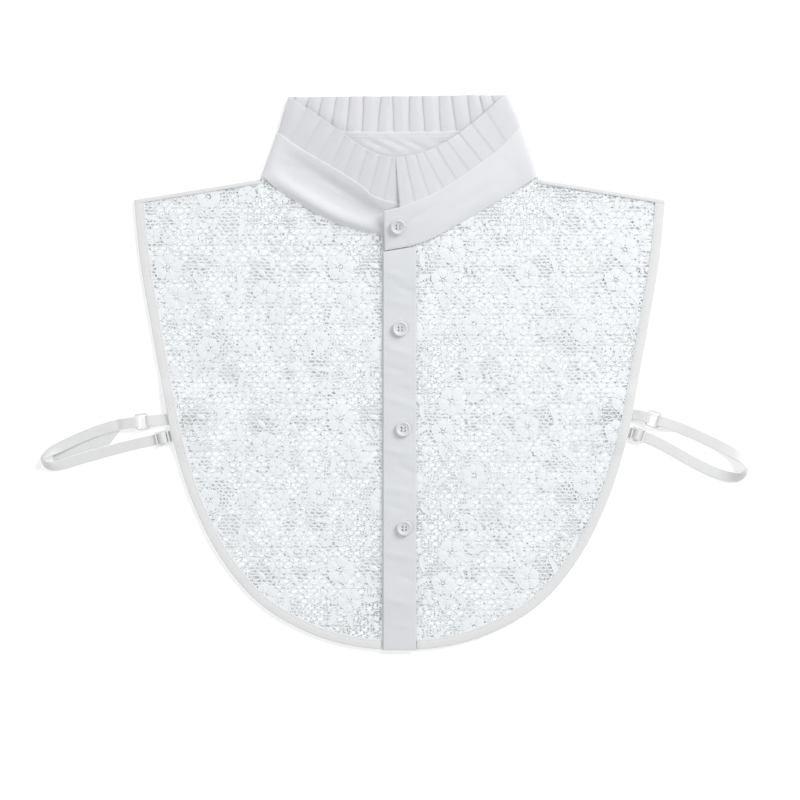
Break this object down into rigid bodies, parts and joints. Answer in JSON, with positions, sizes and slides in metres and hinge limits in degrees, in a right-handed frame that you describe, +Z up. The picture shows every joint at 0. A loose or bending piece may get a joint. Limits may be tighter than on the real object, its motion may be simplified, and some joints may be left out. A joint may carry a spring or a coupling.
{
  "type": "lace detachable collar",
  "caption": "Detachable half-shirt collar of lace, laid flat, with a button placket, a pleated frill on a stand band, and adjustable elastic side loops.",
  "frame": {"origin": "on the surface it lies on, under the middle of its box", "axes": "+X to the viewer's right across the shoulders and strap loops, +Y towards the neck, +Z up out of the laid-out front"},
  "size_m": [0.4956, 0.3888, 0.0127],
  "materials": {
    "lace": "cotton lace with a fine net ground",
    "binding": "plain woven tape",
    "woven": "plain woven cotton",
    "frill": "sheer pleated cotton",
    "elastic": "soft satin elastic",
    "button": "polished pearl white",
    "ring": "glossy white"
  },
  "bodies": {
    "root": {"back_panel": "lace", "back_binding": "binding", "front_panel_left": "lace", "front_panel_right": "lace", "front_binding_left": "binding", "front_binding_right": "binding", "placket_under": "woven", "placket_top": "woven", "collar_band": "woven", "collar_frill": "frill", "button_1": "button", "button_2": "button", "button_3": "button", "button_4": "button", "tab_left": "elastic", "tab_right": "elastic", "ring_left": "ring", "ring_right": "ring", "strap_left": "elastic", "strap_left_ply": "elastic", "strap_right": "elastic", "slider_left": "ring", "slider_right": "ring"}
  },
  "joints": []
}
